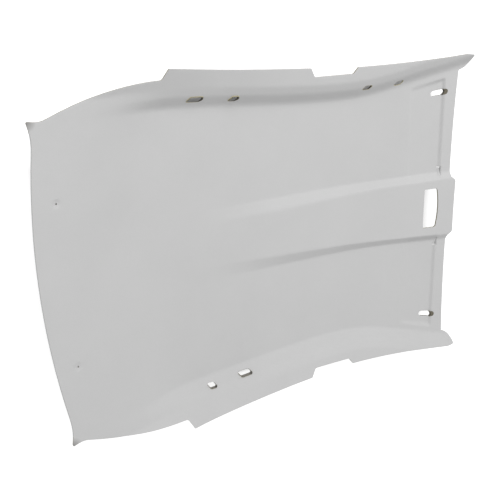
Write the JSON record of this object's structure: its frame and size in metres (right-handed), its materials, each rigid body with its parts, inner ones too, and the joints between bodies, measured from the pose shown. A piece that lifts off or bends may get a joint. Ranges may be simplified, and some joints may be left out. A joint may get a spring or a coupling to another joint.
{
  "type": "car headliner panel",
  "caption": "Moulded car headliner panel: a thin fabric-faced sheet with side flanges, a raised centre channel, visor pockets and openings for lamp, visors and grab handles.",
  "frame": {"origin": "middle of the base of the box around the panel, as it lies on its roof side with the cabin face up", "axes": "+X towards the windscreen edge, +Y towards the passenger side that carries four handle openings, +Z out of the cabin face"},
  "size_m": [1.5849, 1.1994, 0.1718],
  "materials": {
    "headliner_fabric": "light grey knitted headliner fabric over a thin foam backing, pressed on a composite board"
  },
  "bodies": {
    "root": {"headliner_panel": "headliner_fabric"}
  },
  "joints": []
}
